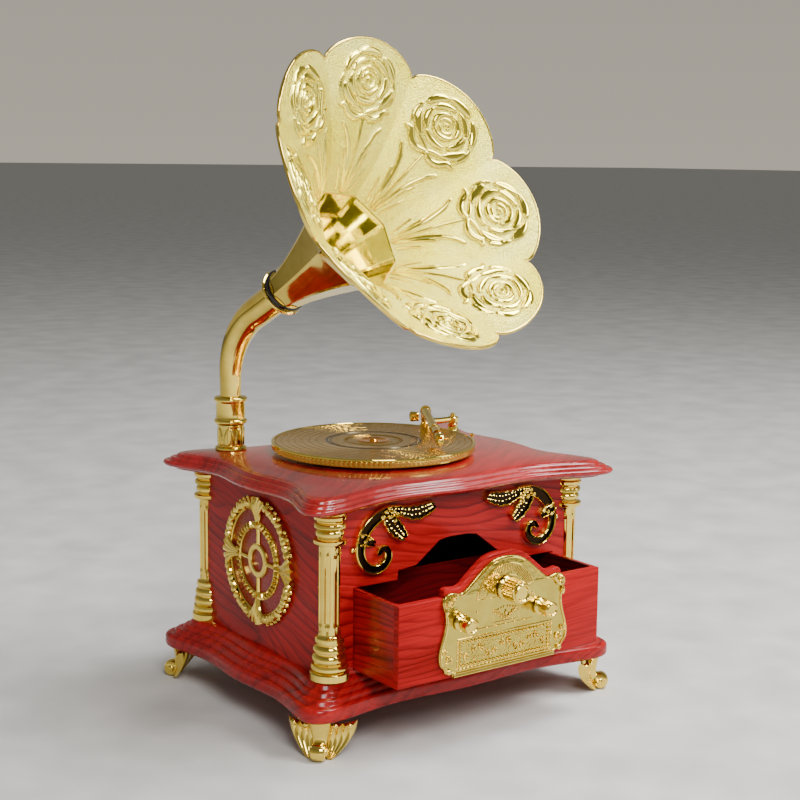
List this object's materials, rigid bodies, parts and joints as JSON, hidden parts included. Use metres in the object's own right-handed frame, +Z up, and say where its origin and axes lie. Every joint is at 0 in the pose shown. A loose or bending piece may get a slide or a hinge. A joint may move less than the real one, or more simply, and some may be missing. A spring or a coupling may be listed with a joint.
{
  "type": "music box",
  "caption": "Gramophone-shaped cylinder music box with a flower horn, a turning platter, a swinging tonearm, a pull-out drawer and scroll feet.",
  "frame": {"origin": "on the floor, under the middle of the whole object's box with the drawer 28 mm open and the horn facing forwards", "axes": "+X to the right and -Y towards the front, seen from the drawer side; +Z up"},
  "size_m": [0.1624, 0.1498, 0.2604],
  "materials": {
    "red_woodgrain": "lacquered red wood-grain moulding",
    "dark_red_plastic": "moulded, satin",
    "gold_plate": "vacuum gold plated, mirror bright",
    "gold_record": "gold plated with fine grooves",
    "frosted_gold": "gold plated over a frosted texture",
    "brass": "machined",
    "steel": "ground",
    "zinc_casting": "die cast, plated",
    "fan_plastic": "moulded"
  },
  "bodies": {
    "case": {"base_plate": "red_woodgrain", "case_walls": "red_woodgrain", "case_screws": "steel", "deck": "red_woodgrain", "drawer_bay": "dark_red_plastic", "column_front_left": "gold_plate", "column_front_right": "gold_plate", "column_back_left": "gold_plate", "column_back_right": "gold_plate", "foot_front_left": "gold_plate", "foot_front_right": "gold_plate", "foot_back_left": "gold_plate", "foot_back_right": "gold_plate", "medallion_left": "gold_plate", "medallion_right": "gold_plate", "scroll_ornament_left": "gold_plate", "scroll_ornament_right": "gold_plate", "spindle_bush": "brass", "tonearm_post": "gold_plate", "tonearm_rest": "gold_plate", "horn_socket": "gold_plate", "movement_bedplate": "zinc_casting", "movement_screws": "steel", "click_spring": "steel", "cylinder_bearings": "zinc_casting", "steel_comb": "steel", "comb_block": "zinc_casting", "comb_screws": "steel", "governor_frame": "zinc_casting"},
    "drawer": {"drawer_tray": "red_woodgrain", "drawer_front": "red_woodgrain", "radio_faceplate": "gold_plate"},
    "tuning_knob": {"tuning_knob": "gold_plate"},
    "knob_left": {"knob_left": "gold_plate"},
    "knob_right": {"knob_right": "gold_plate"},
    "turntable": {"platter": "gold_plate", "record_disc": "gold_record", "turntable_spindle": "steel", "spring_barrel": "brass", "barrel_lid": "brass", "mainspring": "steel"},
    "tonearm": {"tonearm_arm": "gold_plate", "tonearm_soundbox": "gold_plate", "tonearm_head": "gold_plate"},
    "horn": {"horn_collar": "gold_plate", "horn_elbow": "gold_plate", "horn_ring": "gold_plate", "horn_cone": "gold_plate", "horn_bell": "frosted_gold"},
    "winding_key": {"winding_key": "brass", "barrel_arbor": "steel", "ratchet_wheel": "steel"},
    "cylinder": {"music_cylinder": "brass", "cylinder_pins": "steel", "cylinder_arbor": "steel", "cylinder_wheel": "brass"},
    "idler": {"idler_pinion": "steel", "worm_wheel": "brass"},
    "governor": {"governor_worm": "steel", "air_brake": "fan_plastic"}
  },
  "joints": [
    {"name": "drawer_slide", "type": "slide", "parent": "case", "child": "drawer", "axis": [0, -1, 0], "range_m": [-0.028, 0.008]},
    {"name": "platter_spin", "type": "hinge", "parent": "case", "child": "turntable", "pos_m": [0.0067, 0.0235, 0.098], "axis": [0, 0, 1], "continuous": true},
    {"name": "cylinder_spin", "type": "hinge", "parent": "case", "child": "cylinder", "pos_m": [0.0337, 0.0235, 0.0474], "axis": [1, 0, 0], "continuous": true},
    {"name": "idler_spin", "type": "hinge", "parent": "case", "child": "idler", "pos_m": [0.0527, 0.0148, 0.04238], "axis": [1, 0, 0], "continuous": true},
    {"name": "governor_spin", "type": "hinge", "parent": "case", "child": "governor", "pos_m": [0.0527, 0.02055, 0.048], "axis": [0, 0, 1], "continuous": true},
    {"name": "key_turn", "type": "hinge", "parent": "case", "child": "winding_key", "pos_m": [0.0067, 0.0235, 0.012], "axis": [0, 0, 1], "range_deg": [0, 1170]},
    {"name": "horn_swivel", "type": "hinge", "parent": "case", "child": "horn", "pos_m": [-0.04, 0.0597, 0.107], "axis": [0, 0, 1], "range_deg": [-40, 60]},
    {"name": "tonearm_swing", "type": "hinge", "parent": "case", "child": "tonearm", "pos_m": [0.0607, 0.0397, 0.102], "axis": [0, 0, 1], "range_deg": [-6, 48]},
    {"name": "tuning_turn", "type": "hinge", "parent": "drawer", "child": "tuning_knob", "pos_m": [0.0067, -0.062, 0.0588], "axis": [0, -1, 0], "range_deg": [-150, 150]},
    {"name": "knob_left_turn", "type": "hinge", "parent": "drawer", "child": "knob_left", "pos_m": [-0.0148, -0.062, 0.0492], "axis": [0, -1, 0], "range_deg": [-150, 150]},
    {"name": "knob_right_turn", "type": "hinge", "parent": "drawer", "child": "knob_right", "pos_m": [0.0232, -0.062, 0.0492], "axis": [0, -1, 0], "range_deg": [-150, 150]}
  ],
  "couplings": [
    {"joint": "cylinder_spin", "follows": "platter_spin", "ratio": 3},
    {"joint": "idler_spin", "follows": "platter_spin", "ratio": -9},
    {"joint": "governor_spin", "follows": "platter_spin", "ratio": 54}
  ]
}
